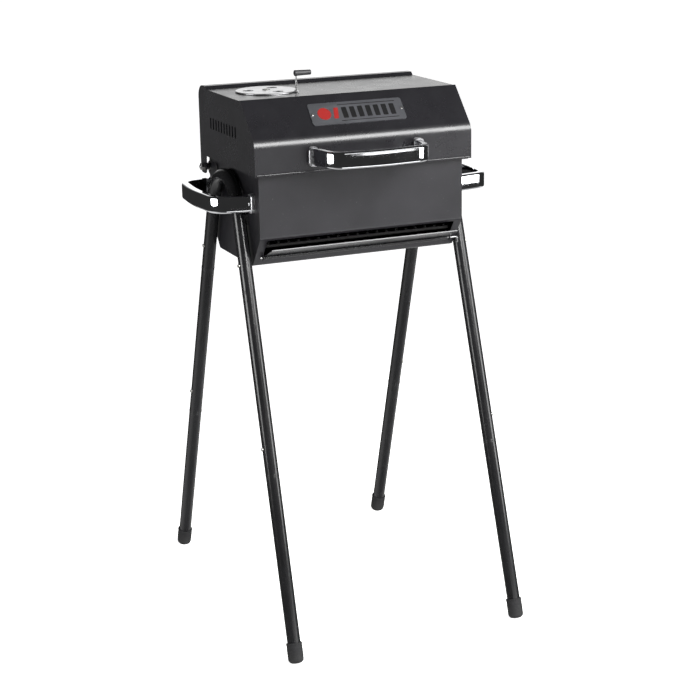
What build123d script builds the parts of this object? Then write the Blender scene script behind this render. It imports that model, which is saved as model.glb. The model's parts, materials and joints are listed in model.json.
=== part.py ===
from build123d import *
from math import cos, hypot, radians, sin
import os

# Folding-leg charcoal grill: lidded sheet-metal firebox on push-together tube legs.
# Millimetres, +Z up, floor at z = 0, front toward -Y, length along X.

# ---- firebox and lid, y measured from the centre of the box ----
BOX_Y = -5.7              # centre of the box from the centre of the leg frame
SHEET = 1.2               # rolled shells
PLATE = 1.5               # end plates
BOX_X = 205.8             # outer face of the firebox end plates
BOX_LINE = [(-134, 873.6), (-134, 757), (-90, 699), (90, 699), (134, 757), (134, 873.6)]
BOX_BENDS = [2, 9, 9, 9, 9, 2]
LIP_FRONT, LIP_REAR, LIP_X = -147, 146, 214.5
RIM_Z = 874.8
INLET_X, INLET_TOP, INLET_LOW = 190.5, 5, 50

LID_X = 217.5             # outer face of the lid end plates
HEM_Z = 875
LID_LINE = [(-150, 934), (-83.6, 1005.6), (-80.6, 1005.6), (-79.4, 1004.5), (105, 1004.5), (110, 1010), (150, 1010)]
LID_BENDS = [27, 2.6, 1.6, 0.8, 2, 3, 24]
RECESS_Z = 1004.5
HEM_IN = 12               # width of the inward hem
SLOT_COUNT, SLOT_STEP, SLOT_WIDE, SLOT_TALL, SLOT_Z, SLOT_Y = 10, 15, 6, 22, 943, 15.5

# ---- hinge ----
PIVOT_Y, PIVOT_Z = 130, 853
STUD_R, EAR_BORE_R = 4.0, 4.08

# ---- bow handles ----
HANDLE_LINE = [(-112, -3), (-98, 75), (0, 84), (98, 75), (112, -3)]
HANDLE_BENDS = [34, 400, 34]
BAND_TALL, BAND_DEEP, BAND_WALL, BAND_ROUND = 31, 12, 2, 4
FOOT_X, SCREW_R, SHOE_TALL = 105, 3, 8
LID_HANDLE_Z, SIDE_HANDLE_Z = 905, 820

# ---- badge ----
BADGE_WIDE, BADGE_TALL, BADGE_THICK, BADGE_MID = 188, 48, 1.2, 54
RIVET_X = 89.4

# ---- damper ----
DISC_X, DISC_Y, DISC_R, DISC_Z = -128, 18, 57.8, 1006
VENT_R, VENT_PITCH, VENT_TURNS = 10, 34, [50, 170, 290]
LEVER_TURN, LEVER_R = -39.6, 59.5
LEVER_D, GRIP_D, GRIP_LONG = 3.6, 11, 33

# ---- air flap ----
FLAP_X, FLAP_LONG, FLAP_OPEN = 189, 45, 28
ROD_SLANT, ROD_OUT, ROD_R = 47, 4.2, 2.0
ROLL_R = 3.25

# ---- leg frame ----
TUBE_R, TUBE_WALL, SPIGOT_R = 12.5, 1.5, 10.9
SPREAD = 0.01186          # sideways splay per mm of height
SLOPE = 0.3239            # fore-and-aft slope of each leg
APEX_Z, ARCH_R = 1007.5, 67.65
JOINTS_Z = [655.0, 330.4]
STRETCH = hypot(1, SLOPE, SPREAD)
SPIGOT_LONG, BUTTON_UP = 70, 50.5
BUTTON_R, BUTTON_BORE_R, BUTTON_OUT = 3.25, 3.33, 3
CAP_R, CAP_TALL, CAP_FLOOR, CAP_Z = 14.6, 38, 6, 0.9
LEG_BOLT_Z = 785

# ---- grates ----
GRATE_LEDGE_Z, COAL_REST_Z = 843, 735
WIRE_PITCH, COAL_PITCH = 15.5, 20

CORNERS = {"fl": (-1, -1), "fr": (1, -1), "rl": (-1, 1), "rr": (1, 1)}
CHAMFER = Plane(origin=(0, -134, 757), x_dir=(1, 0, 0), z_dir=(0, -58, -44))
SLANT = Plane(origin=(0, -150, 934), x_dir=(1, 0, 0), z_dir=(0, -71.6, 66.4))


def on_box(shape):
    """Move a shape from the centre of the box to the centre of the leg frame."""
    return Pos(0, BOX_Y, 0) * shape


def block(x, y, z):
    """Box from (low, high) pairs."""
    size = [b - a for a, b in (x, y, z)]
    return Pos(*[(a + b) / 2 for a, b in (x, y, z)]) * Box(*size)


def rod(radius, start, end):
    """Solid round bar between two points."""
    axis = Vector(*end) - Vector(*start)
    return Plane(origin=start, z_dir=axis) * Pos(0, 0, axis.length / 2) * Cylinder(radius, axis.length)


def beside(points, gap):
    """Parallel of a polyline, `gap` to the left of its direction."""
    pts = [Vector(*p) for p in points]
    ways = [(b - a).normalized() for a, b in zip(pts, pts[1:])]
    left = [Vector(-w.Y, w.X) for w in ways]
    inner = [p + (m + n) * (gap / (1 + m.dot(n))) for p, m, n in zip(pts[1:-1], left, left[1:])]
    return [pts[0] + left[0] * gap] + inner + [pts[-1] + left[-1] * gap]


def strip(points, bends, gap):
    """Face between a polyline with rounded bends and its parallel."""
    pts = [Vector(*p) for p in points]
    turns = [(b - a).cross(c - b).Z for a, b, c in zip(pts, pts[1:], pts[2:])]
    other = [r - gap if t > 0 else r + gap for r, t in zip(bends, turns)]
    near = FilletPolyline(*pts, radius=bends)
    far = FilletPolyline(*beside(points, gap), radius=other)
    return make_face([near, far, Line(near @ 0, far @ 0), Line(near @ 1, far @ 1)])


def folded(points, bends, gap, half_x):
    """Bent sheet running along X."""
    return extrude(Plane.YZ.offset(-half_x) * strip(points, bends, gap), 2 * half_x)


def outline(points, bends):
    """Closed face inside a polyline with rounded bends."""
    line = FilletPolyline(*points, radius=bends)
    return make_face([line, Line(line @ 0, line @ 1)])


def swept(path, face):
    """Sweep a centred face along a path."""
    return sweep(Plane(origin=path @ 0, z_dir=path % 0) * face, path=path)


def pair(shape):
    """A shape and its mirror image on the other end of the box."""
    return Compound(children=[shape, mirror(shape, about=Plane.YZ)])


# ---------------------------------------------------------------- firebox

def firebox_shell():
    line = [(LIP_FRONT, 873.6)] + BOX_LINE + [(LIP_REAR, 873.6)]
    shell = folded(line, BOX_BENDS, SHEET, BOX_X - PLATE)
    middle = -(INLET_TOP + INLET_LOW) / 2
    mouth = RectangleRounded(2 * INLET_X, INLET_LOW - INLET_TOP, 3)
    return shell - extrude(CHAMFER * Pos(0, middle, -8) * mouth, 16)


def firebox_end():
    """Right-hand end plate with its out-turned rim."""
    line = [(-134, RIM_Z)] + BOX_LINE[1:-1] + [(134, RIM_Z)]
    plate = extrude(Plane.YZ.offset(BOX_X - PLATE) * outline(line, BOX_BENDS[1:-1]), PLATE)
    lip = block((BOX_X - PLATE, LIP_X), (LIP_FRONT, LIP_REAR), (RIM_Z - SHEET, RIM_Z))
    lip = fillet(lip.edges().filter_by(Axis.Z).sort_by(Axis.X)[-2:], 6)
    return plate + lip - side_bolts()


def side_bolts():
    """Screw holes of the side handle."""
    holes = [rod(SCREW_R, (190, y, SIDE_HANDLE_Z), (215, y, SIDE_HANDLE_Z)) for y in (-FOOT_X, FOOT_X)]
    return holes[0] + holes[1]


def grate_ledge():
    """Front angle strip that carries the cooking grate."""
    line = [(-120.8, GRATE_LEDGE_Z - 1.5), (-132.8, GRATE_LEDGE_Z - 1.5), (-132.8, GRATE_LEDGE_Z - 14)]
    return folded(line, [3], 1.5, 190)


def coal_rests():
    """Four small brackets on the end plates under the charcoal grate."""
    wall = BOX_X - PLATE
    tab = block((wall - 11, wall), (-9, 9), (COAL_REST_Z - 1.5, COAL_REST_Z))
    tab += block((wall - 1.5, wall), (-9, 9), (COAL_REST_Z - 13, COAL_REST_Z))
    tab = fillet(tab.edges().filter_by(Axis.Z).sort_by(Axis.X)[:2], 3)
    tabs = [Pos(0, y, 0) * tab for y in (-75, 75)]
    return Compound(children=tabs + [mirror(t, about=Plane.YZ) for t in tabs])


def wire_grate(half_x, half_y, z, edge_r, wire_r, pitch, count, rails):
    """Welded wire grate; z is the underside of its border wire."""
    mid = z + edge_r
    path = Plane.XY.offset(mid) * RectangleRounded(2 * half_x, 2 * half_y, 14).wire()
    grate = swept(path, Circle(edge_r))
    top = mid + edge_r + wire_r - 0.9
    low = top - wire_r - edge_r + 0.9
    wires = [rod(wire_r, (x, -half_y, top), (x, half_y, top))
             for x in [(i - (count - 1) / 2) * pitch for i in range(count)]]
    wires += [rod(edge_r - 0.4, (-half_x, y, low), (half_x, y, low)) for y in rails]
    return grate + wires


# ---------------------------------------------------------------- hinge

def hinge_bracket():
    """Right-hand doubler plate on the outside of the end plate."""
    face = Plane.YZ.offset(BOX_X) * Pos(110, 851) * RectangleRounded(52, 26, 8)
    return extrude(face, 2) - rod(STUD_R, (200, PIVOT_Y, PIVOT_Z), (230, PIVOT_Y, PIVOT_Z))


def hinge_stud():
    stud = rod(STUD_R, (BOX_X, PIVOT_Y, PIVOT_Z), (227, PIVOT_Y, PIVOT_Z))
    return chamfer(stud.faces().sort_by(Axis.X)[-1].edges(), 0.8)


def hinge_bush():
    ring = rod(7, (BOX_X + 2, PIVOT_Y, PIVOT_Z), (215.7, PIVOT_Y, PIVOT_Z))
    return ring - rod(STUD_R, (200, PIVOT_Y, PIVOT_Z), (230, PIVOT_Y, PIVOT_Z))


def hinge_nut():
    washer = rod(8, (217.8, PIVOT_Y, PIVOT_Z), (219, PIVOT_Y, PIVOT_Z))
    face = Plane.YZ.offset(219) * Pos(PIVOT_Y, PIVOT_Z) * RegularPolygon(13 / 2, 6, major_radius=False)
    nut = extrude(face, 6.2)
    nut = chamfer(nut.faces().sort_by(Axis.X)[-1].edges(), 0.7)
    return washer + nut - rod(STUD_R, (200, PIVOT_Y, PIVOT_Z), (230, PIVOT_Y, PIVOT_Z))


# ---------------------------------------------------------------- handles

def bow_handle():
    """Channel bow; feet on y = 0, bow toward +Y, mid height on z = 0."""
    half = BAND_TALL / 2
    web = extrude(strip(HANDLE_LINE, HANDLE_BENDS, -BAND_WALL), half, both=True)
    flange = extrude(strip(HANDLE_LINE, HANDLE_BENDS, -BAND_DEEP), BAND_WALL)
    bow = web + Pos(0, 0, half - BAND_WALL) * flange + Pos(0, 0, -half) * flange
    line = FilletPolyline(*HANDLE_LINE, radius=HANDLE_BENDS)
    edges = [e for z in (-half, half) for e in bow.edges() if (Pos(0, 0, z) * line).distance_to(e @ 0.5) < 0.1]
    bow = fillet(edges, BAND_ROUND)
    bow -= block((-150, 150), (-20, 0), (-40, 40))
    for x in (-FOOT_X, FOOT_X):
        pad = Plane.XZ * Pos(x, 0) * RectangleRounded(17, 34, 4)
        bow += extrude(pad, -2.5) + rod(5.4, (x, 0, 0), (x, 12, 0))
    for x in (-FOOT_X, FOOT_X):
        bow -= rod(SCREW_R, (x, -5, 0), (x, 12.5, 0))
    return bow


def handle_screws(wall):
    """Two pan-head screws from inside a wall of the given thickness."""
    screws = []
    for x in (-FOOT_X, FOOT_X):
        head = rod(5.5, (x, -wall - 3.4, 0), (x, -wall, 0))
        head = fillet(head.faces().sort_by(Axis.Y)[0].edges(), 1.6)
        screws.append(head + rod(SCREW_R, (x, -wall, 0), (x, 12, 0)))
    return screws


def handle_shoes(bow):
    """Collars round the two feet of a bow handle."""
    shoes = []
    for x in (-FOOT_X, FOOT_X):
        collar = extrude(Plane.XZ * Pos(x, 0) * RectangleRounded(20, 36, 8), -SHOE_TALL)
        collar = chamfer(collar.faces().sort_by(Axis.Y)[-1].edges(), 0.6)
        shoes.append(collar - bow - rod(SCREW_R, (x, -5, 0), (x, 12.5, 0)))
    return shoes


def side_spot(side):
    """Place of a side handle on the right (+1) or left (-1) end plate."""
    return Pos(side * BOX_X, 0, SIDE_HANDLE_Z) * Rot(0, 0, -90 * side)


LID_SPOT = Pos(0, -150, LID_HANDLE_Z) * Rot(0, 0, 180)


# ---------------------------------------------------------------- lid

def vent_spots(z):
    """Centres of the damper holes at a given height."""
    return [(DISC_X + VENT_PITCH * cos(radians(a)), DISC_Y + VENT_PITCH * sin(radians(a)), z)
            for a in VENT_TURNS]


def lid_shell():
    line = [(-150 + HEM_IN, HEM_Z), (-150, HEM_Z)] + LID_LINE + [(150, HEM_Z)]
    shell = folded(line, [2.5] + LID_BENDS, -SHEET, LID_X - PLATE)
    for x, y, z in vent_spots(RECESS_Z):
        shell -= rod(VENT_R, (x, y, z - 10), (x, y, z + 10))
    shell -= rod(3, (DISC_X, DISC_Y, RECESS_Z - 10), (DISC_X, DISC_Y, RECESS_Z + 10))
    for x in (-FOOT_X, FOOT_X):
        shell -= rod(SCREW_R, (x, -160, LID_HANDLE_Z), (x, -140, LID_HANDLE_Z))
    for x in (-RIVET_X, RIVET_X):
        shell -= SLANT * Pos(x, BADGE_MID, 0) * Cylinder(1.6, 10)
    return shell


def lid_end():
    """Right-hand lid end plate with hem, vent slots and hinge ear."""
    inner = LID_X - PLATE
    line = [(-150, HEM_Z)] + LID_LINE + [(150, HEM_Z)]
    plate = extrude(Plane.YZ.offset(inner) * outline(line, LID_BENDS), PLATE)
    ear = [(118, 890), (118, 840), (150, 840), (150, 890)]
    plate += extrude(Plane.YZ.offset(inner) * outline(ear, [10, 10]), PLATE)
    plate += block((inner - HEM_IN, inner), (HEM_IN - 150, 112), (HEM_Z, HEM_Z + SHEET))
    plate -= rod(EAR_BORE_R, (200, PIVOT_Y, PIVOT_Z), (230, PIVOT_Y, PIVOT_Z))
    for i in range(SLOT_COUNT):
        y = SLOT_Y + (i - (SLOT_COUNT - 1) / 2) * SLOT_STEP
        slot = Plane.YZ.offset(200) * Pos(y, SLOT_Z) * SlotOverall(SLOT_TALL, SLOT_WIDE, 90)
        plate -= extrude(slot, 30)
    return plate


def badge_plate():
    plate = extrude(SLANT * Pos(0, BADGE_MID) * RectangleRounded(BADGE_WIDE, BADGE_TALL, 5), BADGE_THICK)
    for x in (-RIVET_X, RIVET_X):
        plate -= SLANT * Pos(x, BADGE_MID, 0) * Cylinder(1.6, 10)
    return plate


def badge_rivets():
    rivets = []
    for x in (-RIVET_X, RIVET_X):
        shank = Pos(x, BADGE_MID, -1.2) * Cylinder(1.6, 4.8)
        dome = Pos(x, BADGE_MID, BADGE_THICK + 0.6) * Cylinder(2.8, 1.2)
        tail = Pos(x, BADGE_MID, -SHEET - 0.9) * Cylinder(2.6, 1.8)
        dome = fillet(dome.faces().sort_by(Axis.Z)[-1].edges(), 1.0)
        rivets.append(SLANT * (shank + dome + tail))
    return Compound(children=rivets)


# ---------------------------------------------------------------- damper

def damper_pivot():
    """Shouldered rivet that holds the damper disc to the lid."""
    def turn(radius, low, high):
        return rod(radius, (DISC_X, DISC_Y, low), (DISC_X, DISC_Y, high))
    head = fillet(turn(7, DISC_Z + 1.6, DISC_Z + 3.6).faces().sort_by(Axis.Z)[-1].edges(), 1.4)
    collar = turn(8, RECESS_Z, DISC_Z - 0.1)
    return turn(3, RECESS_Z - SHEET - 2, DISC_Z + 2) + collar + head + turn(6, RECESS_Z - SHEET - 2, RECESS_Z - SHEET)


def damper_disc():
    disc = Pos(DISC_X, DISC_Y, DISC_Z + 0.75) * Cylinder(DISC_R, 1.5)
    disc = fillet(disc.faces().sort_by(Axis.Z)[-1].edges(), 1.2)
    skirt = Pos(DISC_X, DISC_Y, DISC_Z + 0.1) * (Cylinder(DISC_R, 1.6) - Cylinder(DISC_R - 1.5, 1.6))
    tab = Pos(DISC_X, DISC_Y, DISC_Z) * Rot(0, 0, LEVER_TURN) * block((50, LEVER_R + 5), (-5, 5), (0, 1.5))
    disc += skirt + fillet(tab.edges().filter_by(Axis.Z).sort_by(Axis.X)[-2:], 4)
    for x, y, z in vent_spots(DISC_Z):
        disc -= rod(VENT_R, (x, y, z - 10), (x, y, z + 10))
    return disc - rod(3.06, (DISC_X, DISC_Y, DISC_Z - 10), (DISC_X, DISC_Y, DISC_Z + 10))


def lever_base():
    turn = radians(LEVER_TURN)
    return DISC_X + LEVER_R * cos(turn), DISC_Y + LEVER_R * sin(turn)


def damper_lever():
    """Bent wire from the disc tab up and across into the grip."""
    x, y = lever_base()
    line = [(x, DISC_Z + 1.5), (x, 1040), (x + 22, 1040)]
    path = Plane(origin=(0, y, 0), x_dir=(1, 0, 0), z_dir=(0, -1, 0)) * FilletPolyline(*line, radius=[6])
    return swept(path, Circle(LEVER_D / 2)) + rod(3.6, (x, y, DISC_Z + 1.5), (x, y, DISC_Z + 3))


def damper_grip():
    """Moulded grip over the bent end of the lever."""
    x, y = lever_base()
    taper = Cone(GRIP_D / 2, GRIP_D / 2 - 0.8, GRIP_LONG)
    grip = Plane(origin=(x - 3.5, y, 1040), z_dir=(1, 0, 0)) * Pos(0, 0, GRIP_LONG / 2) * taper
    return fillet(grip.edges(), 1.2) - damper_lever()


# ---------------------------------------------------------------- air flap

def rod_spot():
    """Centre of the flap rod at x = 0."""
    return (CHAMFER * Pos(0, -ROD_SLANT, ROD_OUT)).position


def opened(shape):
    """Swing a closed flap shape to its part-open rest."""
    return shape.rotate(Axis(rod_spot(), (1, 0, 0)), FLAP_OPEN)


def air_flap():
    low = ROD_OUT - ROLL_R
    leaf = block((-FLAP_X, FLAP_X), (-ROD_SLANT, FLAP_LONG - ROD_SLANT), (low, low + SHEET))
    hem = block((-FLAP_X, FLAP_X), (FLAP_LONG - ROD_SLANT - 7, FLAP_LONG - ROD_SLANT), (low + SHEET, low + 2.2))
    hem = fillet(hem.edges().filter_by(Axis.X).sort_by(Axis.Z)[-2:], 0.5)
    roll = rod(ROLL_R, (-FLAP_X, -ROD_SLANT, ROD_OUT), (FLAP_X, -ROD_SLANT, ROD_OUT))
    bore = rod(ROD_R, (-FLAP_X - 1, -ROD_SLANT, ROD_OUT), (FLAP_X + 1, -ROD_SLANT, ROD_OUT))
    return opened(CHAMFER * (leaf + hem + roll - bore))


def flap_rod():
    """Hinge rod with a short cranked end on the right."""
    at = rod_spot()
    plane = Plane(origin=(0, at.Y, at.Z), x_dir=(1, 0, 0), z_dir=(0, -1, 0))
    path = plane * FilletPolyline((-197, 0), (208.3, 0), (208.3, -11), radius=[4])
    return swept(path, Circle(ROD_R))


def flap_lugs():
    """Lugs beside the inlet that carry the rod."""
    lug = block((190.8, 192.3), (-ROD_SLANT - 5.5, -ROD_SLANT + 5.5), (0, ROD_OUT))
    lug += rod(5.5, (190.8, -ROD_SLANT, ROD_OUT), (192.3, -ROD_SLANT, ROD_OUT))
    lug -= rod(ROD_R + 0.06, (180, -ROD_SLANT, ROD_OUT), (200, -ROD_SLANT, ROD_OUT))
    lug -= block((180, 200), (-70, -20), (-10, 0))
    return pair(CHAMFER * lug)


# ---------------------------------------------------------------- legs

def leg_point(side, fore, z):
    return side * (219.6 + (850 - z) * SPREAD), fore * (APEX_Z - z) * SLOPE, z


def leg_plane(side, fore, z):
    """Local z up the leg, local x outward from the box."""
    up = (-side * SPREAD, -fore * SLOPE, 1)
    return Plane(origin=leg_point(side, fore, z), x_dir=(side, 0, SPREAD), z_dir=up)


def arch_path(side):
    plane = Plane(origin=(side * 219.6, 0, 850), x_dir=(0, 1, 0), z_dir=(1, 0, side * SPREAD))
    foot_y, foot_v = (APEX_Z - JOINTS_Z[0]) * SLOPE, JOINTS_Z[0] - 850
    return plane * FilletPolyline((-foot_y, foot_v), (0, APEX_Z - 850), (foot_y, foot_v), radius=ARCH_R)


def hollow(radius, low, high):
    """Tube of the leg wall thickness between two local heights."""
    tube = Cylinder(radius, high - low) - Cylinder(radius - TUBE_WALL, high - low)
    return Pos(0, 0, (low + high) / 2) * tube


def button_bore():
    return rod(BUTTON_BORE_R, (5, 0, BUTTON_UP), (20, 0, BUTTON_UP))


def leg_bolt_spots(side):
    """Centres of the arch bolts on the tube axis: crown, front and rear."""
    crown = APEX_Z - ARCH_R * (hypot(1, SLOPE) / SLOPE - 1)
    return [leg_point(side, 0, crown)] + [leg_point(side, fore, LEG_BOLT_Z) for fore in (-1, 1)]


def leg_bolt_holes(side):
    holes = [rod(SCREW_R, (side * 195, y, z), (side * 216, y, z)) for x, y, z in leg_bolt_spots(side)]
    return holes[0] + holes[1] + holes[2]


def leg_arch(side):
    arch = swept(arch_path(side), Circle(TUBE_R) - Circle(TUBE_R - TUBE_WALL))
    for fore in (-1, 1):
        arch -= leg_plane(side, fore, JOINTS_Z[0]) * button_bore()
    return arch - leg_bolt_holes(side)


def leg_saddles():
    saddles = []
    for side in (-1, 1):
        tube = swept(arch_path(side), Circle(TUBE_R))
        near, far = sorted((side * BOX_X, side * 213))
        for x, y, z in leg_bolt_spots(side):
            pad = fillet(block((near, far), (y - 9, y + 9), (z - 11, z + 11)).edges().filter_by(Axis.X), 4)
            saddles.append(pad - tube - rod(SCREW_R, (side * 195, y, z), (side * 216, y, z)))
    return Compound(children=saddles)


def leg_bolts():
    """Bolts from inside the firebox, each with its rivet nut inside the tube."""
    bolts = []
    for side in (-1, 1):
        inside = side * (BOX_X - PLATE)
        for x, y, z in leg_bolt_spots(side):
            head = rod(6, (inside - side * 3.8, y, z), (inside, y, z))
            head = fillet(head.faces().sort_by(Axis.X)[0 if side > 0 else -1].edges(), 1.8)
            bolts.append(head + rod(SCREW_R, (inside, y, z), (side * 219, y, z)))
    return Compound(children=bolts)


def leg_section(side, fore, top_z, bottom, foot_bores):
    """Straight tube below a joint with its spigot, bored for the snap buttons."""
    tube = hollow(TUBE_R, bottom, 0) + hollow(SPIGOT_R, -5, SPIGOT_LONG)
    tube += Pos(0, 0, -2.5) * (Cylinder(TUBE_R, 5) - Cylinder(SPIGOT_R - TUBE_WALL, 5))
    tube -= button_bore()
    if foot_bores:
        tube -= Pos(0, 0, bottom) * button_bore()
    return leg_plane(side, fore, top_z) * tube


def foot_cap(side, fore):
    cap = Pos(0, 0, CAP_TALL / 2) * Cylinder(CAP_R, CAP_TALL)
    cap = fillet(cap.faces().sort_by(Axis.Z)[0].edges(), 8)
    cap = fillet(cap.faces().sort_by(Axis.Z)[-1].edges(), 1.2)
    cap -= Pos(0, 0, CAP_FLOOR + 30) * Cylinder(TUBE_R, 60)
    cap = leg_plane(side, fore, CAP_Z) * cap
    x, y, z = leg_point(side, fore, 0)
    return cap - block((x - 40, x + 40), (y - 40, y + 40), (-20, 0))


def snap_button(side, fore, joint_z):
    """Button pin with its leaf spring inside the spigot."""
    tip = rod(BUTTON_R, (7, 0, BUTTON_UP), (TUBE_R + BUTTON_OUT, 0, BUTTON_UP))
    tip = fillet(tip.faces().sort_by(Axis.X)[-1].edges(), 2.2)
    flange = rod(4.6, (6.4, 0, BUTTON_UP), (7.6, 0, BUTTON_UP))
    line = [(6.6, BUTTON_UP - 4), (6.6, BUTTON_UP + 8), (-5, BUTTON_UP + 26), (-5, BUTTON_UP + 31)]
    leaf = extrude(Plane.XZ.offset(-3) * strip(line, [5, 5], 0.6), 6)
    return leg_plane(side, fore, joint_z) * (tip + flange + leaf)


# ---------------------------------------------------------------- all pieces

def firebox_parts():
    parts = {"firebox_shell": firebox_shell(), "grate_ledge_front": grate_ledge()}
    parts["grate_ledge_rear"] = mirror(parts["grate_ledge_front"], about=Plane.XZ)
    parts["charcoal_rests"] = coal_rests()
    parts["cooking_grate"] = wire_grate(195, 127, GRATE_LEDGE_Z + 0.3, 3, 2, WIRE_PITCH, 25, (-45, 45))
    parts["charcoal_grate"] = wire_grate(195, 108, COAL_REST_Z + 0.3, 3, 2.5, COAL_PITCH, 19, (0,))
    for name, shape in (("studs", hinge_stud()), ("bushes", hinge_bush()), ("nuts", hinge_nut())):
        parts["hinge_" + name] = pair(shape)
    bow, screws = bow_handle(), handle_screws(PLATE)
    for side, name in ((-1, "left"), (1, "right")):
        parts["side_handle_" + name] = side_spot(side) * bow
        bracket = hinge_bracket()
        parts["hinge_bracket_" + name] = bracket if side > 0 else mirror(bracket, about=Plane.YZ)
    shoes = handle_shoes(bow)
    parts["side_handle_shoes"] = Compound(children=[side_spot(s) * w for s in (-1, 1) for w in shoes])
    parts["side_handle_screws"] = Compound(children=[side_spot(s) * w for s in (-1, 1) for w in screws])
    parts["air_flap"], parts["flap_rod"], parts["flap_lugs"] = air_flap(), flap_rod(), flap_lugs()
    return parts


def lid_parts():
    parts = {"lid_shell": lid_shell(), "lid_end_right": lid_end(), "badge_plate": badge_plate()}
    parts["lid_end_left"] = mirror(parts["lid_end_right"], about=Plane.YZ)
    bow = bow_handle()
    parts["lid_handle"] = LID_SPOT * bow
    parts["lid_handle_shoes"] = Compound(children=[LID_SPOT * s for s in handle_shoes(bow)])
    parts["lid_handle_screws"] = Compound(children=[LID_SPOT * s for s in handle_screws(SHEET)])
    parts["badge_rivets"] = badge_rivets()
    parts["damper_pivot"], parts["damper_disc"] = damper_pivot(), damper_disc()
    parts["damper_lever"], parts["damper_grip"] = damper_lever(), damper_grip()
    return parts


def leg_parts():
    parts = {"leg_arch_left": leg_arch(-1), "leg_arch_right": leg_arch(1)}
    parts["leg_saddles"], parts["leg_bolts"] = leg_saddles(), leg_bolts()
    mid_low = (JOINTS_Z[1] - JOINTS_Z[0]) * STRETCH
    foot_low = (CAP_Z - JOINTS_Z[1]) * STRETCH + CAP_FLOOR
    for corner, (side, fore) in CORNERS.items():
        parts["leg_mid_" + corner] = leg_section(side, fore, JOINTS_Z[0], mid_low, True)
        parts["leg_lower_" + corner] = leg_section(side, fore, JOINTS_Z[1], foot_low, False)
        parts["foot_cap_" + corner] = foot_cap(side, fore)
        for z, level in zip(JOINTS_Z, ("upper", "lower")):
            parts[f"snap_button_{corner}_{level}"] = snap_button(side, fore, z)
    return parts


def all_parts():
    parts = {name: on_box(shape) for name, shape in (firebox_parts() | lid_parts()).items()}
    for side, name in ((-1, "left"), (1, "right")):
        end = firebox_end() if side > 0 else mirror(firebox_end(), about=Plane.YZ)
        parts["firebox_end_" + name] = on_box(end) - leg_bolt_holes(side)
    return parts | leg_parts()


os.makedirs("parts", exist_ok=True)
for node, shape in all_parts().items():
    export_step(shape, f"parts/{node}.step")
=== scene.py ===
import json
from math import cos, pi, radians, sin

import bmesh
import bpy
from mathutils import Matrix, Vector


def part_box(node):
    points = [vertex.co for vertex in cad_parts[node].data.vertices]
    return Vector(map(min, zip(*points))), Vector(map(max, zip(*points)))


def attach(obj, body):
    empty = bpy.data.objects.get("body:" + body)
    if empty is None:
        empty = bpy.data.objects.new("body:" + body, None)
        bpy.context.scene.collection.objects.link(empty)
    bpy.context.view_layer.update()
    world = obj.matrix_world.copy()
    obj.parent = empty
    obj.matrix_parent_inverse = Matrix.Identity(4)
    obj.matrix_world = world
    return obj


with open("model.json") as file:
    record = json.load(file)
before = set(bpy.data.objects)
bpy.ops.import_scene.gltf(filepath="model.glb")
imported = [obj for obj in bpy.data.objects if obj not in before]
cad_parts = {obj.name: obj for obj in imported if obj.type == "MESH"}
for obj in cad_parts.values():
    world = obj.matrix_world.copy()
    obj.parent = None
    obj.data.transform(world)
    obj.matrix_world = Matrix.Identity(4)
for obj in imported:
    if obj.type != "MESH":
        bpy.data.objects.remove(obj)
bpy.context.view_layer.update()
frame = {"nodes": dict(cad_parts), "record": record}

MM = 0.001
NODES = frame["nodes"]
BOX_Y = -5.7 * MM                      # centre of the box from the centre of the leg frame
ROOT, LID = "firebox_and_legs", "lid"
CORNERS = {"fl": (-1, -1), "fr": (1, -1), "rl": (-1, 1), "rr": (1, 1)}

# leg frame, as in the CAD
TUBE_R, SPREAD, SLOPE, APEX_Z = 12.5 * MM, 0.01186, 0.3239, 1007.5 * MM
JOINTS_Z = (655.0 * MM, 330.4 * MM)
HEIGHT_HALF_WIDTH, HALF_WIDTH = 850 * MM, 219.6 * MM     # the tubes' sideways place at one height
CAP_R, CAP_Z = 14.6 * MM, 0.9 * MM

# lid, as in the CAD; heights and depths from the centre of the box
LID_SLANT = (66.4, 71.6)               # run and rise of the slanted front
HEM_HALF_X, HEM_HALF_Y, HEM_Z, HEM_R = 214 * MM, 149.3 * MM, 877.6 * MM, 2.4 * MM
BADGE_HALF_THICK = 0.6 * MM


# ---------------------------------------------------------------- node helpers

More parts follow.
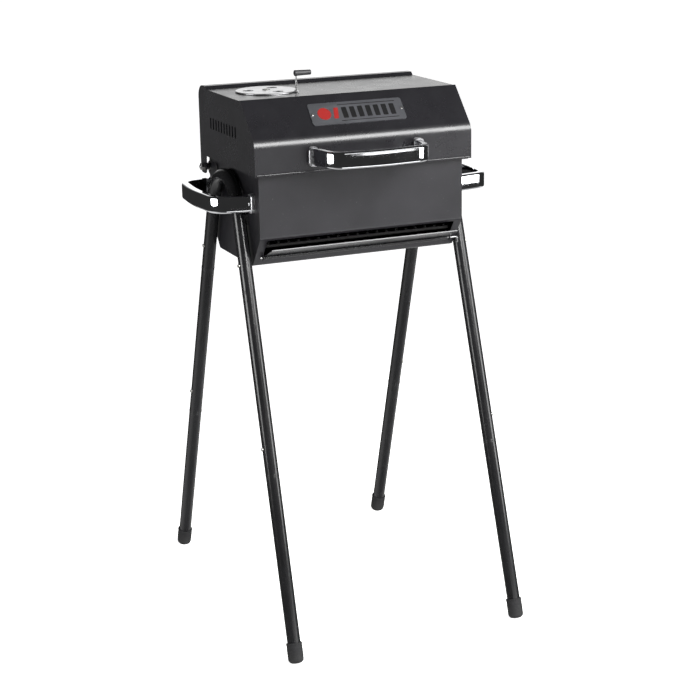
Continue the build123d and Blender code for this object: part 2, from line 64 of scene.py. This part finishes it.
class Shader:
    """Small builder for one procedural material."""

    def __init__(self, name, color, roughness, metallic=0.0):
        self.material = bpy.data.materials.new(name)
        self.material.use_nodes = True
        self.tree = self.material.node_tree
        self.bsdf = self.tree.nodes["Principled BSDF"]
        self.bsdf.inputs["Base Color"].default_value = (*color, 1)
        self.bsdf.inputs["Roughness"].default_value = roughness
        self.bsdf.inputs["Metallic"].default_value = metallic
        self.place = self.add("ShaderNodeTexCoord").outputs["Object"]
        self.height = None

    def add(self, kind, **values):
        node = self.tree.nodes.new(kind)
        for key, value in values.items():
            if key in node.inputs:
                node.inputs[key].default_value = value
            else:
                setattr(node, key, value)
        return node

    def link(self, source, target):
        self.tree.links.new(source, target)

    def stretched(self, scale):
        """Object coordinates multiplied axis by axis."""
        mapping = self.add("ShaderNodeMapping")
        mapping.inputs["Scale"].default_value = scale
        self.link(self.place, mapping.inputs["Vector"])
        return mapping.outputs["Vector"]

    def noise(self, scale, detail=3.0, vector=None, rough=0.55):
        node = self.add("ShaderNodeTexNoise", Scale=scale, Detail=detail, Roughness=rough)
        self.link(vector or self.place, node.inputs["Vector"])
        return node.outputs["Fac"]

    def cells(self, scale, feature="F1"):
        node = self.add("ShaderNodeTexVoronoi", feature=feature, Scale=scale)
        self.link(self.place, node.inputs["Vector"])
        return node

    def ramp(self, fac, stops):
        """Colour ramp; stops are (position, colour) with grey numbers allowed."""
        node = self.add("ShaderNodeValToRGB")
        elements = node.color_ramp.elements
        elements[0].position, elements[-1].position = stops[0][0], stops[-1][0]
        for position, _ in stops[1:-1]:
            elements.new(position)
        for element, (_, value) in zip(elements, stops):
            rgb = (value,) * 3 if isinstance(value, (int, float)) else value
            element.color = (*rgb, 1)
        self.link(fac, node.inputs["Fac"])
        return node.outputs["Color"]

    def span(self, fac, low, high, start=0.3, stop=0.7):
        """Map a texture value to a range of numbers."""
        node = self.add("ShaderNodeMapRange")
        for key, value in (("From Min", start), ("From Max", stop), ("To Min", low), ("To Max", high)):
            node.inputs[key].default_value = value
        self.link(fac, node.inputs["Value"])
        return node.outputs["Result"]

    def blend(self, fac, first, second):
        node = self.add("ShaderNodeMix", data_type="RGBA")
        self.link(fac, node.inputs["Factor"])
        for socket, value in ((node.inputs[6], first), (node.inputs[7], second)):
            if isinstance(value, bpy.types.NodeSocket):
                self.link(value, socket)
            else:
                socket.default_value = (*value, 1)
        return node.outputs[2]

    def color(self, socket):
        self.link(socket, self.bsdf.inputs["Base Color"])

    def roughness(self, socket):
        self.link(socket, self.bsdf.inputs["Roughness"])

    def bump(self, socket, strength, distance):
        node = self.add("ShaderNodeBump", Strength=strength, Distance=distance)
        self.link(socket, node.inputs["Height"])
        if self.height is not None:
            self.link(self.height, node.inputs["Normal"])
        self.height = node.outputs["Normal"]
        self.link(self.height, self.bsdf.inputs["Normal"])


# ---------------------------------------------------------------- materials

def powder_coat(name, base, rough, grain):
    """Black powder coat: orange-peel grain, slow gloss drift, faint dust."""
    s = Shader(name, base, rough)
    drift = s.noise(9, 4)
    dust = s.noise(260, 2)
    lift = tuple(min(1, c * 1.4 + 0.001) for c in base)
    tone = s.blend(s.span(drift, 0, 1, 0.35, 0.7), base, lift)
    specks = s.ramp(dust, [(0.0, 0.0), (0.7, 0.0), (0.8, 0.25), (1.0, 0.3)])
    s.color(s.blend(specks, tone, (0.16, 0.16, 0.165)))
    s.roughness(s.span(s.noise(26, 5), rough - 0.025, rough + 0.03))
    s.bump(s.noise(grain, 2), 0.10, 0.00025)
    s.bump(s.cells(grain * 1.9).outputs["Distance"], 0.05, 0.0002)
    s.bump(s.noise(7, 2), 0.10, 0.0008)
    return s.material


CROWN = -3.2              # height of the handle bands' crown, per metre off their middle line


def polished_chrome(name, middle, tint=(0.80, 0.81, 0.83)):
    """Bright chrome with faint polishing lines and haze, slightly crowned about a height."""
    s = Shader(name, tint, 0.05, 1.0)
    s.color(s.blend(s.span(s.noise(30, 4), 0, 0.6), tint, tuple(c * 0.86 for c in tint)))
    lines = s.noise(1.0, 3, s.stretched((60, 60, 1400)))
    haze = s.noise(55, 5)
    s.roughness(s.span(haze, 0.035, 0.10, 0.35, 0.75))
    axes = s.add("ShaderNodeSeparateXYZ")
    s.link(s.place, axes.inputs["Vector"])
    off = s.add("ShaderNodeMath", operation="SUBTRACT")
    s.link(axes.outputs["Z"], off.inputs[0])
    off.inputs[1].default_value = middle
    square = s.add("ShaderNodeMath", operation="MULTIPLY")
    s.link(off.outputs[0], square.inputs[0])
    s.link(off.outputs[0], square.inputs[1])
    crown = s.add("ShaderNodeMath", operation="MULTIPLY")
    s.link(square.outputs[0], crown.inputs[0])
    crown.inputs[1].default_value = CROWN
    s.bump(crown.outputs[0], 1.0, 1.0)
    s.bump(lines, 0.02, 0.00008)
    s.bump(s.noise(14, 1), 0.02, 0.0006)
    return s.material


def brushed_metal(name, base, rough, scale, strength=0.12):
    """Sheet or wire metal brushed along the axis with the smallest scale."""
    s = Shader(name, base, rough, 1.0)
    grain = s.noise(1.0, 4, s.stretched(scale), 0.7)
    dark = tuple(c * 0.72 for c in base)
    s.color(s.blend(s.span(s.noise(18, 4), 0, 1), s.blend(s.span(grain, 0, 1), base, dark), base))
    s.roughness(s.span(grain, rough - 0.08, rough + 0.12))
    s.bump(grain, strength, 0.00012)
    return s.material


def zinc_plate(name, base):
    """Zinc-plated fasteners: fine crystals with a slight yellow cast in places."""
    s = Shader(name, base, 0.32, 1.0)
    crystal = s.cells(900)
    tone = s.blend(s.span(s.noise(120, 3), 0, 1), base, (base[0], base[1] * 0.96, base[2] * 0.82))
    s.color(s.blend(s.span(crystal.outputs["Distance"], 0, 0.5, 0, 0.8), tone, tuple(c * 0.8 for c in base)))
    s.roughness(s.span(s.noise(300, 3), 0.24, 0.42))
    s.bump(crystal.outputs["Distance"], 0.06, 0.0001)
    return s.material


def moulded_rubber(name, base):
    """Matte rubber: fine stipple, scuffs and dust near the floor."""
    s = Shader(name, base, 0.78)
    scuff = s.noise(130, 6, rough=0.75)
    low = s.add("ShaderNodeSeparateXYZ")
    s.link(s.place, low.inputs["Vector"])
    dusty = s.span(low.outputs["Z"], 0.55, 0.0, 0.0, 0.03)
    tone = s.blend(s.span(scuff, 0, 1, 0.4, 0.75), base, tuple(c * 1.7 for c in base))
    s.color(s.blend(dusty, tone, (0.03, 0.03, 0.029)))
    s.roughness(s.span(scuff, 0.68, 0.9))
    s.bump(s.cells(1500).outputs["Distance"], 0.25, 0.0002)
    s.bump(scuff, 0.12, 0.0003)
    return s.material


def moulded_plastic(name, base):
    """Heat-resistant plastic with a spark-eroded texture."""
    s = Shader(name, base, 0.5)
    grain = s.cells(1100).outputs["Distance"]
    s.color(s.blend(s.span(s.noise(150, 4), 0, 1), base, tuple(c * 1.35 for c in base)))
    s.roughness(s.span(s.noise(400, 3), 0.42, 0.6))
    s.bump(grain, 0.15, 0.00015)
    return s.material


def plated_wire(name, base):
    """Plated grate wire, slightly straw coloured from its first heat."""
    s = Shader(name, base, 0.16, 1.0)
    heat = s.noise(11, 3)
    tone = s.ramp(heat, [(0.0, base), (0.5, base), (0.66, (0.66, 0.58, 0.44)), (0.82, (0.46, 0.42, 0.48))])
    s.color(tone)
    s.roughness(s.span(s.noise(90, 4), 0.1, 0.3))
    s.bump(s.noise(500, 2), 0.05, 0.0001)
    return s.material


def enamel_print(name, base):
    """Printed enamel on the badge: solid colour, tiny pinholes, low sheen."""
    s = Shader(name, base, 0.35)
    holes = s.cells(1800).outputs["Distance"]
    s.color(s.blend(s.span(holes, 0.35, 0, 0.0, 0.12), base, tuple(c * 0.6 + 0.03 for c in base)))
    s.roughness(s.span(s.noise(700, 2), 0.28, 0.45))
    s.bump(s.noise(900, 3), 0.08, 0.00008)
    return s.material


MATERIALS = {
    "lid_coat": powder_coat("lid_coat", (0.0094, 0.0091, 0.0108), 0.28, 620),
    "firebox_coat": powder_coat("firebox_coat", (0.0118, 0.0114, 0.0134), 0.30, 620),
    "flap_coat": powder_coat("flap_coat", (0.011, 0.011, 0.012), 0.28, 620),
    "tube_coat": powder_coat("tube_coat", (0.010, 0.010, 0.0107), 0.20, 700),
    "saddle_plastic": moulded_plastic("saddle_plastic", (0.02, 0.02, 0.021)),
    "foot_rubber": moulded_rubber("foot_rubber", (0.011, 0.011, 0.012)),
    "button_zinc": zinc_plate("button_zinc", (0.62, 0.62, 0.62)),
    "fastener_zinc": zinc_plate("fastener_zinc", (0.40, 0.40, 0.41)),
    "wire_steel": brushed_metal("wire_steel", (0.36, 0.36, 0.36), 0.25, (900, 900, 30)),
    "shoe_metal": brushed_metal("shoe_metal", (0.85, 0.85, 0.87), 0.30, (900, 900, 60)),
    # coal grate: near-black, darker than the black coats; partly its own black finish, partly painted shade
    # so the grate reads black inside the firebox
    "coal_grate_steel": powder_coat("coal_grate_steel", (0.004, 0.004, 0.004), 0.8, 620),
    "damper_steel": brushed_metal("damper_steel", (0.72, 0.72, 0.73), 0.32, (40, 1400, 1400)),
    "grip_plastic": moulded_plastic("grip_plastic", (0.027, 0.027, 0.029)),
    "badge_metal": brushed_metal("badge_metal", (0.24, 0.245, 0.265), 0.36, (12, 1600, 1600), 0.2),
    "grate_chrome": plated_wire("grate_chrome", (0.72, 0.72, 0.74)),
    "print_red": enamel_print("print_red", (0.26, 0.012, 0.010)),
    "print_black": enamel_print("print_black", (0.004, 0.004, 0.0045)),
}
SLOTS = {part["node"]: part["material_slot"] for part in frame["record"]["subparts"]}


def dress(node):
    """Give a CAD node its slot's material; each chrome handle has its own, crowned about its middle."""
    item = NODES[node]
    item.data.materials.clear()
    if SLOTS[node] == "handle_chrome":
        heights = [corner[2] for corner in item.bound_box]
        item.data.materials.append(polished_chrome(node + "_chrome", (min(heights) + max(heights)) / 2))
    else:
        item.data.materials.append(MATERIALS[SLOTS[node]])


for node in NODES:
    dress(node)


# ---------------------------------------------------------------- mesh helpers

SMOOTH = radians(35)      # sharper edges than this stay sharp


def add_piece(name, bm, body, slot, material=None):
    """Turn a bmesh into a finished piece that rides on a body."""
    bmesh.ops.recalc_face_normals(bm, faces=bm.faces)
    mesh = bpy.data.meshes.new(name)
    bm.to_mesh(mesh)
    bm.free()
    mesh.shade_smooth()
    mesh.set_sharp_from_angle(angle=SMOOTH)
    mesh.materials.append(material or MATERIALS[slot])
    piece = bpy.data.objects.new(name, mesh)
    bpy.context.scene.collection.objects.link(piece)
    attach(piece, body)
    return piece


def lathe(bm, profile, place, turns=40):
    """Closed ring from (radius, height) points turned about local z."""
    rings = []
    for i in range(turns):
        a = 2 * pi * i / turns
        rings.append([bm.verts.new(place @ Vector((r * cos(a), r * sin(a), h))) for r, h in profile])
    for i in range(turns):
        near, far = rings[i], rings[(i + 1) % turns]
        for j in range(len(profile)):
            k = (j + 1) % len(profile)
            bm.faces.new((near[j], far[j], far[k], near[k]))


def rib_profile(radius, height, proud, half, steps=6):
    """Half-round bead standing `proud` above a surface, with a foot inside it."""
    arc = [pi * i / steps for i in range(steps + 1)]
    points = [(radius + proud * sin(a), height - half * cos(a)) for a in arc]
    return [(radius - proud, height - half)] + points + [(radius - proud, height + half)]


def skin(bm, rings):
    """Closed surface through rings of vertices, with a flat face at each end."""
    count = len(rings[0])
    for near, far in zip(rings, rings[1:]):
        for k in range(count):
            m = (k + 1) % count
            bm.faces.new((near[k], near[m], far[m], far[k]))
    bm.faces.new(rings[0][::-1])
    bm.faces.new(rings[-1])


def slab(bm, outline, low, high, place):
    """Prism from a flat outline of (x, y) points between two heights, with a bevelled top edge."""
    inset = (high - low) * 0.4
    mid = sum((Vector(p) for p in outline), Vector((0, 0))) / len(outline)
    rings = []
    for height, shrink in ((low, 0), (high - inset, 0), (high, inset)):
        ring = []
        for p in outline:
            away = Vector(p) - mid
            spot = mid + away * (1 - shrink / max(away.length, 1e-6))
            ring.append(bm.verts.new(place @ Vector((*spot, height))))
        rings.append(ring)
    skin(bm, rings)


def leg_matrix(side, fore, z):
    """Local z up the leg, local x outward, origin on the tube axis at a height."""
    up = Vector((-side * SPREAD, -fore * SLOPE, 1)).normalized()
    out = Vector((side, 0, SPREAD)).normalized()
    spot = Vector((side * (HALF_WIDTH + (HEIGHT_HALF_WIDTH - z) * SPREAD), fore * (APEX_Z - z) * SLOPE, z))
    return Matrix.Translation(spot) @ Matrix((out, up.cross(out), up)).transposed().to_4x4()


# ---------------------------------------------------------------- leg details

def foot_ribs():
    """Grip ribs round each rubber foot."""
    for corner, (side, fore) in CORNERS.items():
        bm = bmesh.new()
        place = leg_matrix(side, fore, CAP_Z)
        for height in (14, 19, 24, 29):
            lathe(bm, rib_profile(CAP_R - 0.1 * MM, height * MM, 0.5 * MM, 1.1 * MM), place)
        lathe(bm, rib_profile(CAP_R - 0.1 * MM, 36.2 * MM, 0.7 * MM, 1.5 * MM), place)
        add_piece("foot_ribs_" + corner, bm, ROOT, "foot_rubber")


def joint_crimps():
    """Two rolled beads on the tube, just above and below each push-together joint."""
    for corner, (side, fore) in CORNERS.items():
        bm = bmesh.new()
        for z in JOINTS_Z:
            place = leg_matrix(side, fore, z)
            lathe(bm, rib_profile(TUBE_R - 0.05 * MM, 1.6 * MM, 0.45 * MM, 1.4 * MM), place)
            lathe(bm, rib_profile(TUBE_R - 0.05 * MM, -2.2 * MM, 0.3 * MM, 1.0 * MM), place)
        add_piece("joint_crimps_" + corner, bm, ROOT, "tube_coat")


foot_ribs()
joint_crimps()


# ---------------------------------------------------------------- lid and firebox details

def bar(bm, start, end, radius, sides=16):
    """Round bar with tapered ends."""
    start, end = Vector(start), Vector(end)
    along = (end - start).normalized()
    across = along.orthogonal().normalized()
    other = along.cross(across)
    turns = [2 * pi * k / sides for k in range(sides)]
    tip = along * radius * 0.5
    stations = ((start - tip, 0.6), (start, 1), (end, 1), (end + tip, 0.6))
    skin(bm, [[bm.verts.new(spot + (across * cos(a) + other * sin(a)) * radius * scale) for a in turns]
              for spot, scale in stations])


def lid_hem():
    """Rolled lower edge along the front and rear of the lid."""
    bm = bmesh.new()
    for y in (BOX_Y - HEM_HALF_Y, BOX_Y + HEM_HALF_Y):
        bar(bm, (-HEM_HALF_X, y, HEM_Z), (HEM_HALF_X, y, HEM_Z), HEM_R)
    add_piece("lid_hem_roll", bm, LID, "lid_coat")


lid_hem()


# ---------------------------------------------------------------- badge

def badge_matrix():
    """Local x along the lid, local y up the slanted face, local z out of it."""
    low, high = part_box("badge_plate")
    run, rise = LID_SLANT
    up = Vector((0, run, rise)).normalized()
    out = Vector((0, -rise, run)).normalized()
    mid = (Vector(low) + Vector(high)) / 2
    return Matrix.Translation(mid) @ Matrix((Vector((1, 0, 0)), up, out)).transposed().to_4x4()


def rounded_bar(left, right, low, high, lean, radius, steps=4):
    """Outline of a leaning bar with rounded corners."""
    corners = [(right, low), (right, high), (left, high), (left, low)]
    points = []
    for n, (x, y) in enumerate(corners):
        cx = x + (-radius if x == right else radius)
        cy = y + (-radius if y == high else radius)
        for i in range(steps + 1):
            a = radians(-90 + 90 * n + 90 * i / steps)
            px, py = cx + radius * cos(a), cy + radius * sin(a)
            points.append((px + py * lean, py))
    return points


PRINT_LOW, PRINT_HIGH, LINE_HIGH = -0.1 * MM, 0.22 * MM, 0.2 * MM     # from the plate's face
SIGN_HALF, SIGN_ROUND = 12 * MM, 1.5 * MM


def badge_print():
    """Generic print: a red disc and leaning bar, a row of black bars between two black lines."""
    place = badge_matrix() @ Matrix.Translation((0, 0, BADGE_HALF_THICK))
    red, black = bmesh.new(), bmesh.new()
    turns = [2 * pi * i / 36 for i in range(36)]
    disc = [(-66 * MM + 13 * MM * cos(a), 13 * MM * sin(a)) for a in turns]
    slab(red, disc, PRINT_LOW, PRINT_HIGH, place)
    sign = rounded_bar(-47 * MM, -38 * MM, -SIGN_HALF, SIGN_HALF, 0.18, SIGN_ROUND)
    slab(red, sign, PRINT_LOW, PRINT_HIGH, place)
    for i in range(7):
        x = (-30 + i * 16) * MM
        sign = rounded_bar(x, x + 10 * MM, -SIGN_HALF, SIGN_HALF, 0, SIGN_ROUND)
        slab(black, sign, PRINT_LOW, PRINT_HIGH, place)
    for y in (-17.5, 17.5):
        line = rounded_bar(-36 * MM, 80 * MM, (y - 0.7) * MM, (y + 0.7) * MM, 0, 0.5 * MM)
        slab(black, line, PRINT_LOW, LINE_HIGH, place)
    add_piece("badge_print_red", red, LID, "badge_metal", MATERIALS["print_red"])
    add_piece("badge_print_black", black, LID, "badge_metal", MATERIALS["print_black"])


badge_print()


# ---------------------------------------------------------------- stage, light and camera

BACKDROP, GROUND, ROOM, AMBIENT = 1.35, 0.75, 0.03, 0.15     # strengths of the sky's parts
FLOOR_HALF, FLOOR_GLOW, FLOOR_SHARE = 60, 0.95, 0.45          # the share is what the object gets


def floor():
    """Plain pale floor: its own glow lights the object less than the camera."""
    bm = bmesh.new()
    bmesh.ops.create_grid(bm, x_segments=2, y_segments=2, size=FLOOR_HALF)
    mesh = bpy.data.meshes.new("floor")
    bm.to_mesh(mesh)
    bm.free()
    s = Shader("floor_white", (0.93, 0.93, 0.93), 0.65)
    s.color(s.blend(s.span(s.noise(3, 3), 0, 0.4), (0.93, 0.93, 0.93), (0.90, 0.90, 0.90)))
    s.bsdf.inputs["Emission Color"].default_value = (1, 1, 1, 1)
    glow = s.add("ShaderNodeMapRange")
    glow.inputs["To Min"].default_value = FLOOR_GLOW * FLOOR_SHARE
    glow.inputs["To Max"].default_value = FLOOR_GLOW
    s.link(s.add("ShaderNodeLightPath").outputs["Is Camera Ray"], glow.inputs["Value"])
    s.link(glow.outputs["Result"], s.bsdf.inputs["Emission Strength"])
    mesh.materials.append(s.material)
    item = bpy.data.objects.new("floor", mesh)
    item.visible_glossy = False
    bpy.context.scene.collection.objects.link(item)


def studio_sky():
    """White for the camera; reflections see a bright card behind, bright ground and a dark room."""
    world = bpy.data.worlds.new("studio")
    bpy.context.scene.world = world
    world.use_nodes = True
    tree = world.node_tree
    new, link = tree.nodes.new, tree.links.new
    sky = tree.nodes["Background"]
    sky.inputs["Color"].default_value = (1, 1, 1, 1)
    place = new("ShaderNodeTexCoord").outputs["Generated"]
    axes = new("ShaderNodeSeparateXYZ")
    link(place, axes.inputs["Vector"])

    def span(socket, start, stop, low, high):
        node = new("ShaderNodeMapRange")
        node.interpolation_type = "SMOOTHSTEP"
        for key, value in (("From Min", start), ("From Max", stop), ("To Min", low), ("To Max", high)):
            node.inputs[key].default_value = value
        link(socket, node.inputs["Value"])
        return node.outputs["Result"]

    def feed(value, socket):
        if isinstance(value, bpy.types.NodeSocket):
            link(value, socket)
        else:
            socket.default_value = value

    def combine(operation, a, b):
        node = new("ShaderNodeMath")
        node.operation = operation
        feed(a, node.inputs[0])
        feed(b, node.inputs[1])
        return node.outputs[0]

    def choose(flag, no, yes):
        node = new("ShaderNodeMix")
        link(flag, node.inputs["Factor"])
        feed(no, node.inputs[2])
        feed(yes, node.inputs[3])
        return node.outputs[0]

    x, y, z = (axes.outputs[name] for name in "XYZ")
    rear_right = combine("MULTIPLY", span(y, 0.35, 0.75, 0, 1), span(x, -0.25, 0.2, 0, 1))
    card = combine("MULTIPLY", span(z, -0.02, 0.06, 0, 1), span(z, 0.3, 0.6, BACKDROP, 0))
    backdrop = combine("MULTIPLY", rear_right, card)
    ground = combine("MULTIPLY", span(z, -0.44, -0.36, GROUND, 0), span(y, -0.6, 0.1, 0.15, 1))
    mirrored = combine("ADD", combine("ADD", backdrop, ground), ROOM)
    path = new("ShaderNodeLightPath").outputs
    ambient = span(z, -0.2, 0.9, AMBIENT, AMBIENT * 0.3)
    strength = choose(path["Is Camera Ray"], choose(path["Is Glossy Ray"], ambient, mirrored), 1.0)
    link(strength, sky.inputs["Strength"])


COATS = ("lid_coat", "firebox_coat", "flap_coat")
BRIGHT = ("handle_chrome", "shoe_metal")
ALL_BUT_BRIGHT = "all but bright"
LIGHTS = [                # name, place, aim, width and height, watts, slots that it reaches
    ("softbox_left", (-2.30, -0.20, 0.90), (0, -0.1, 0.85), (1.0, 1.0), 24, ALL_BUT_BRIGHT),
    ("softbox_right", (1.75, -1.45, 0.90), (0, -0.1, 0.85), (0.8, 1.0), 20, ALL_BUT_BRIGHT),
    ("softbox_top", (0.96, -2.1, 2.16), (0, -0.15, 0.93), (2.0, 1.0), 128, ALL_BUT_BRIGHT),
    ("softbox_low", (0.35, -1.35, 0.03), (0, -0.15, 0.9), (1.6, 0.5), 6, None),
    ("coat_front", (0.84, -2.15, 0.47), (0, -0.15, 0.85), (1.5, 0.8), 3.1, COATS),
    ("coat_left", (-1.30, 2.20, 0.55), (0, 0, 0.85), (1.4, 0.9), 0.5, COATS),
    ("coat_rear", (0.84, 2.25, 0.47), (0, 0.1, 0.85), (2.0, 0.8), 3.0, COATS),
    ("rim_left", (-2.30, -0.20, 0.90), (0, -0.1, 0.85), (1.7, 1.0), 42, BRIGHT),
    ("rim_right", (1.74, -1.47, 0.90), (0, -0.1, 0.85), (0.95, 1.0), 24, BRIGHT),
    ("rim_front", (0.90, -2.2, 0.90), (0, -0.2, 0.9), (0.95, 0.28), 2.2, BRIGHT),
    ("rim_top", (0.96, -2.1, 2.16), (0, -0.15, 0.93), (2.0, 0.7), 10, BRIGHT),
]


def link_light(item, slots):
    """Let a light reach only the nodes of the given slots, or all but the bright handles."""
    group = bpy.data.collections.new(item.name + "_linked")
    for node, slot in SLOTS.items():
        if slot in (BRIGHT if slots == ALL_BUT_BRIGHT else slots):
            group.objects.link(NODES[node])
    if slots == ALL_BUT_BRIGHT:
        for entry in group.collection_objects:
            entry.light_linking.link_state = "EXCLUDE"
    item.light_linking.receiver_collection = group


def softbox(name, spot, aim, size, power, slots):
    lamp = bpy.data.lights.new(name, "AREA")
    lamp.shape = "RECTANGLE"
    lamp.size, lamp.size_y = size
    lamp.energy = power
    item = bpy.data.objects.new(name, lamp)
    item.location = spot
    item.rotation_euler = (Vector(aim) - Vector(spot)).to_track_quat("-Z", "Y").to_euler()
    bpy.context.scene.collection.objects.link(item)
    if slots:
        link_light(item, slots)


def camera():
    """Photograph's viewing angle: turned 23.3 degrees, looking 15.9 down, with a slight roll."""
    yaw, pitch, roll = radians(23.30), radians(-15.92), radians(-0.99)
    ahead = Vector((sin(yaw) * cos(pitch), cos(yaw) * cos(pitch), sin(pitch)))
    right = Vector((cos(yaw), -sin(yaw), 0))
    up = right.cross(ahead)
    across = cos(roll) * right + sin(roll) * up
    above = -sin(roll) * right + cos(roll) * up
    data = bpy.data.cameras.new("camera")
    data.sensor_width, data.lens, data.shift_x = 36, 90.52, 0.0024
    item = bpy.data.objects.new("camera", data)
    turn = Matrix((across, above, -ahead)).transposed().to_4x4()
    item.matrix_world = Matrix.Translation((-1.3024, -3.0828, 1.4410)) @ turn
    bpy.context.scene.collection.objects.link(item)
    bpy.context.scene.camera = item


floor()
studio_sky()
for light in LIGHTS:
    softbox(*light)
camera()
bpy.context.scene.view_settings.view_transform = "Standard"
